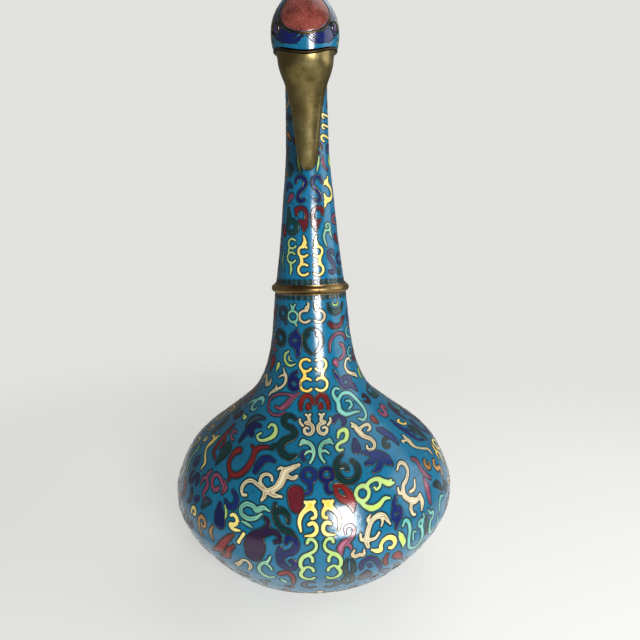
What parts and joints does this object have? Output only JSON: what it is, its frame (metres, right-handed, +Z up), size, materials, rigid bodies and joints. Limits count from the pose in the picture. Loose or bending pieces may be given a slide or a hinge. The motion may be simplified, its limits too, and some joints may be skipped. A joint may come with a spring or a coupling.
{
  "type": "cloisonne bottle vase",
  "caption": "Squat round enamelled metal bottle vase with a long ringed neck bent over into a bird's head, its brass bill hanging down in front.",
  "frame": {"origin": "centre of the circle that the foot ring rests on", "axes": "+Z up along the belly's and neck's axis, -Y towards the side that the bill hangs down on, +X to the right as seen from there"},
  "size_m": [0.192, 0.192, 0.3648],
  "materials": {
    "enamel": "polished turquoise-blue enamel with many-coloured scrolls outlined in fine brass wire",
    "red_enamel": "polished brick-red enamel, mottled with paler specks",
    "navy_enamel": "polished dark navy enamel",
    "counter_enamel": "unpolished pale blue counter-enamel",
    "copper": "bare spun copper, dulled",
    "brass": "worn gilt brass with an olive-brown patina",
    "bill_brass": "cast brass, rubbed bright along the ridge and brown at the sides"
  },
  "bodies": {
    "root": {"body_enamel": "enamel", "neck_enamel": "enamel", "base_enamel": "enamel", "crown_enamel": "red_enamel", "eye_left": "navy_enamel", "eye_right": "navy_enamel", "body_lining": "counter_enamel", "lower_bowl": "copper", "shoulder_shell": "copper", "lower_neck_tube": "copper", "neck_tube": "copper", "head_shell": "copper", "neck_ring": "brass", "foot_ring": "brass", "crown_wire": "brass", "eye_wire_left": "brass", "eye_wire_right": "brass", "bill_wire": "brass", "bill_upper": "bill_brass", "bill_lower": "bill_brass"}
  },
  "joints": []
}
